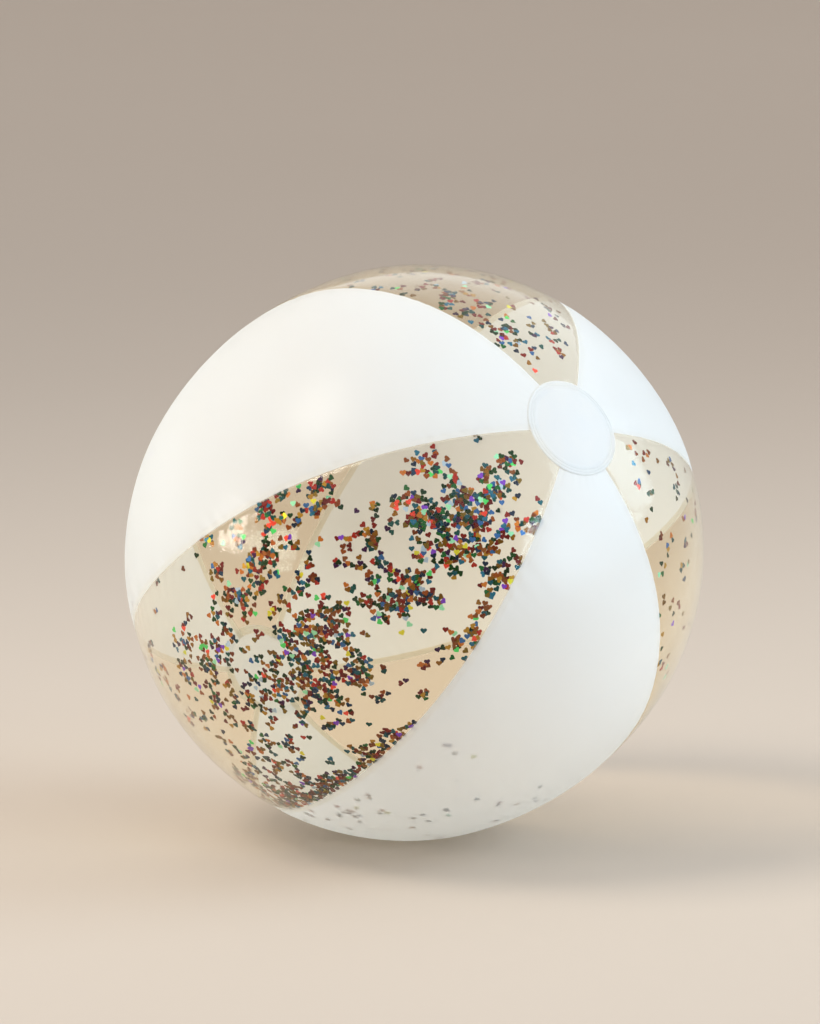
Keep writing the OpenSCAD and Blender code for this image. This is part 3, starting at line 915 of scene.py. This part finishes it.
def clear_film():
    """Glossy clear film: a warm haze that thickens at a slant, and a milky line at its welds."""
    m = Nodes("clear_film")
    ripple = m.noise(60, 3)
    fine = m.noise(500, 2)
    bump = m.bump(m.maths("ADD", ripple, m.maths("MULTIPLY", fine, 0.15)), 0.12, 2 * MM)
    gap = m.value("gap")
    strip = m.band(gap, -3.0, 2.9, 0.25)
    line = m.band(gap, 2.1, 2.8, 0.25)
    facing = m.add("LayerWeight", {"Blend": 0.5, "Normal": bump}).outputs["Facing"]
    slant = m.maths("MULTIPLY", m.maths("POWER", facing, 4.0), SLANT_HAZE)
    streaks = m.spread(m.noise(35, 4, 0.6), 0.4, 0.75, 0.0, STREAK_HAZE)
    weld = m.maths("ADD", m.maths("MULTIPLY", strip, STRIP_HAZE),
                   m.maths("MULTIPLY", line, LINE_HAZE))
    haze = m.maths("MAXIMUM", m.maths("ADD", streaks, slant, clamp=True), weld)
    tint = m.blend(strip, HAZE_TINT, WELD_TINT)
    lit = m.add("BsdfDiffuse", {"Color": tint, "Normal": bump}).outputs[0]
    passed = m.add("BsdfTranslucent", {"Color": tint, "Normal": bump}).outputs[0]
    clear = m.add("BsdfTransparent", {"Color": (*CLEAR_TINT, 1)}).outputs[0]
    gloss = m.add("BsdfGlossy", {"Color": (1, 1, 1, 1), "Roughness": 0.09, "Normal": bump})
    body = m.mix(haze, clear, m.mix(0.5, lit, passed))
    steep = m.maths("POWER", facing, 5.0)
    mirrored = m.maths("ADD", m.maths("MULTIPLY", steep, 1 - HEAD_ON), HEAD_ON)
    return m.done(m.mix(mirrored, body, gloss.outputs[0]))


def cap_film():
    """The caps' thicker white film, with faint noise blotches of a darker, bluer tint and a warm
    rim.
    """
    m = Nodes("cap_film")
    blotches = m.noise(55, 4, 0.6)
    grain = m.noise(800, 2)
    rim = m.band(m.value("gap"), -1.0, 3.9, 0.6)
    # noise blotches move the colour between a darker, bluer tint and a lighter, warmer one
    colour = m.blend(m.spread(blotches, 0.35, 0.65, 0, 1), *CAP_TINTS)
    colour = m.blend(m.maths("MULTIPLY", rim, 0.7), colour, CAP_RIM)
    height = m.maths("ADD", grain, m.maths("MULTIPLY", blotches, 2.0))
    surface = m.mottled(blotches, (0.30, 0.45), colour, m.bump(height, 0.2, 0.2 * MM))
    return m.done(m.lets_through(surface, WHITE_GLOW, *CAP_SHARES))


def valve_vinyl():
    """Soft moulded vinyl that glows a little in light from behind, with a fine moulded grain."""
    m = Nodes("valve_vinyl")
    grain = m.noise(1400, 3)
    cloud = m.noise(120, 3)
    surface = m.mottled(cloud, (0.26, 0.40), m.blend(cloud, *VINYL_TINTS),
                        m.bump(grain, 0.25, 0.2 * MM))
    return m.done(m.lets_through(surface, VINYL_GLOW, VINYL_SHARE))


# Tones of each colour of foil, in linear light
FOILS = {
    "red": ((0.14, 0.008, 0.006), (0.24, 0.016, 0.012), (0.46, 0.030, 0.022), (0.18, 0.014, 0.018)),
    "copper": ((0.20, 0.040, 0.008), (0.34, 0.085, 0.012), (0.60, 0.19, 0.03), (0.26, 0.08, 0.02)),
    "gold": ((0.20, 0.095, 0.008), (0.30, 0.13, 0.010), (0.50, 0.28, 0.03), (0.22, 0.14, 0.015)),
    "green": ((0.005, 0.032, 0.006), (0.008, 0.065, 0.014), (0.012, 0.15, 0.04),
              (0.008, 0.045, 0.02)),
    "teal": ((0.008, 0.08, 0.09), (0.010, 0.12, 0.18), (0.02, 0.18, 0.34), (0.008, 0.10, 0.10)),
    "navy": ((0.008, 0.025, 0.07), (0.010, 0.05, 0.14), (0.04, 0.16, 0.48), (0.05, 0.010, 0.08)),
}
DULL_SHARE = 0.91                         # of the hearts; the others get a painted glint colour
# Painted glints: bright base colours that stand in for light caught by the holographic foil
PAINTED_GLINTS = ((0.40, 1.0, 0.72), (1.0, 0.09, 0.06), (0.10, 0.85, 0.22), (0.85, 0.85, 0.06),
          (0.25, 0.07, 0.85), (0.50, 0.70, 1.0))


def foil(colour):
    """Metallised film: one tone to a heart, and on a few hearts a painted glint colour in place of
    light caught by the foil.
    """
    m = Nodes("foil_" + colour)
    dull = FOILS[colour]
    stops = [(DULL_SHARE * k / len(dull), tint) for k, tint in enumerate(dull)]
    # the last stops paint the glints into the base colour
    stops += [(DULL_SHARE + (1 - DULL_SHARE) * k / len(PAINTED_GLINTS), tint)
              for k, tint in enumerate(PAINTED_GLINTS)]
    shade = m.steps(m.value("tone"), stops)
    flecks = m.noise(1500, 2)
    surface = m.add("BsdfPrincipled", {
        "Base Color": m.blend(m.maths("MULTIPLY", flecks, 0.3), shade, (0, 0, 0)),
        "Metallic": 0.4, "Specular IOR Level": 0.15,
        "Roughness": m.spread(flecks, 0.3, 0.7, 0.30, 0.45),
        "Normal": m.bump(flecks, 0.3, 0.1 * MM)})
    return m.done(surface.outputs[0])


def stage_paint():
    """Matt pale paint with slow clouds."""
    m = Nodes("stage_paint")
    surface = m.add("BsdfPrincipled", {"Base Color": m.blend(m.noise(0.6, 3), *STAGE_TINTS),
                                       "Roughness": 0.8, "Specular IOR Level": 0.2})
    return m.done(surface.outputs[0])


# ---------- build ----------

GORES = [  # node, number of its first seam, clear or white
    ("gore_clear_right", 0, True), ("gore_white_right", 1, False), ("gore_clear_top", 2, True),
    ("gore_white_left", 3, False), ("gore_clear_front", 4, True), ("gore_white_under", 5, False),
]
white, clear = white_film(), clear_film()
for node, seam, is_clear in GORES:
    make_gore(node, seam, is_clear).data.materials.append(clear if is_clear else white)
cap = cap_film()
for node, side in (("end_cap_front", 1), ("end_cap_rear", -1)):
    make_cap(node, side).data.materials.append(cap)
vinyl = valve_vinyl()
for make in (make_flange, make_skirt, make_stem, make_flap, make_plug, make_strap):
    make().data.materials.append(vinyl)
for colour, hearts in make_confetti().items():
    hearts.data.materials.append(foil(colour))


# ---------- stage, light and camera ----------

FLOOR_R, CURVE_R, WALL_TOP = 8.0, 3.0, 4.5
FLOOR_RINGS = (0, 0.3, 1, 2, 4, 6, FLOOR_R)
STAGE_SEGMENTS = 96
LIGHT_SPREAD = math.radians(70)
LIGHTS = [  # name, place, width and height, watts, colour
    ("window_high", (-1.65, -0.57, 2.62), (1.3, 1.1), 8, (1.0, 0.95, 0.86)),
    ("window_low", (-2.97, -0.42, 0.62), (0.75, 0.7), 4, (1.0, 0.97, 0.92)),
    ("fill", (3.1, 0.3, 1.78), (2.0, 2.0), 13, (0.60, 0.81, 1.0)),
    ("low_fill", (3.1, -1.58, 0.85), (1.5, 1.1), 10, (0.60, 0.81, 1.0)),
]
SKY = (0.955, 0.97, 1.0)
CAMERA_ELEVATION, CAMERA_DISTANCE = math.radians(11), 4.2074
CAMERA_LENS, CAMERA_SENSOR = 219.8, 36    # in millimetres
AIM_OFFSET = (-0.0028, 0.0053, 0.0270)    # from the ball's centre to what the camera aims at


def make_stage():
    """A round pale floor that curves up into a low wall, far outside every camera."""
    profile = [(r, 0.0) for r in FLOOR_RINGS]
    profile += [(FLOOR_R + CURVE_R * math.sin(a), CURVE_R * (1 - math.cos(a)))
                for a in np.radians(np.arange(7.5, 90.1, 7.5))]
    profile.append((FLOOR_R + CURVE_R, WALL_TOP))
    count = STAGE_SEGMENTS
    angles = np.linspace(0, TURN, count, endpoint=False)
    verts = [(r * math.cos(a), r * math.sin(a), z) for r, z in profile for a in angles]
    faces = [[count * k + i, count * k + (i + 1) % count,
              count * (k + 1) + (i + 1) % count, count * (k + 1) + i]
             for k in range(len(profile) - 1) for i in range(count)]
    stage = new_object("stage", verts, faces)
    weld_points(stage)
    finish_mesh(stage)
    stage.data.materials.append(stage_paint())


def place_facing(obj, place, aim):
    bpy.context.scene.collection.objects.link(obj)
    obj.location = place
    obj.rotation_euler = (Vector(aim) - Vector(place)).to_track_quat("-Z", "Y").to_euler()


def make_light(name, place, size, watts, colour):
    data = bpy.data.lights.new(name, "AREA")
    data.shape = "RECTANGLE"
    data.size, data.size_y = size
    data.energy = watts
    data.color = colour
    data.spread = LIGHT_SPREAD
    light = bpy.data.objects.new(name, data)
    light.visible_camera = False
    place_facing(light, place, CENTRE)


def make_camera():
    """A long lens from far off, a little above the ball's centre."""
    data = bpy.data.cameras.new("camera")
    data.lens = CAMERA_LENS
    data.sensor_width = CAMERA_SENSOR
    camera = bpy.data.objects.new("camera", data)
    way = Vector((0, -math.cos(CAMERA_ELEVATION), math.sin(CAMERA_ELEVATION)))
    centre = Vector(CENTRE)
    place_facing(camera, centre + CAMERA_DISTANCE * way, centre + Vector(AIM_OFFSET))
    bpy.context.scene.camera = camera


def make_world():
    world = bpy.data.worlds.new("world")
    bpy.context.scene.world = world
    world.use_nodes = True
    background = world.node_tree.nodes["Background"]
    background.inputs["Color"].default_value = (*SKY, 1)
    background.inputs["Strength"].default_value = 1.0


make_stage()
make_world()
for name, *light_facts in LIGHTS:
    make_light(name, *light_facts)
make_camera()
bpy.context.scene.view_settings.view_transform = "Standard"
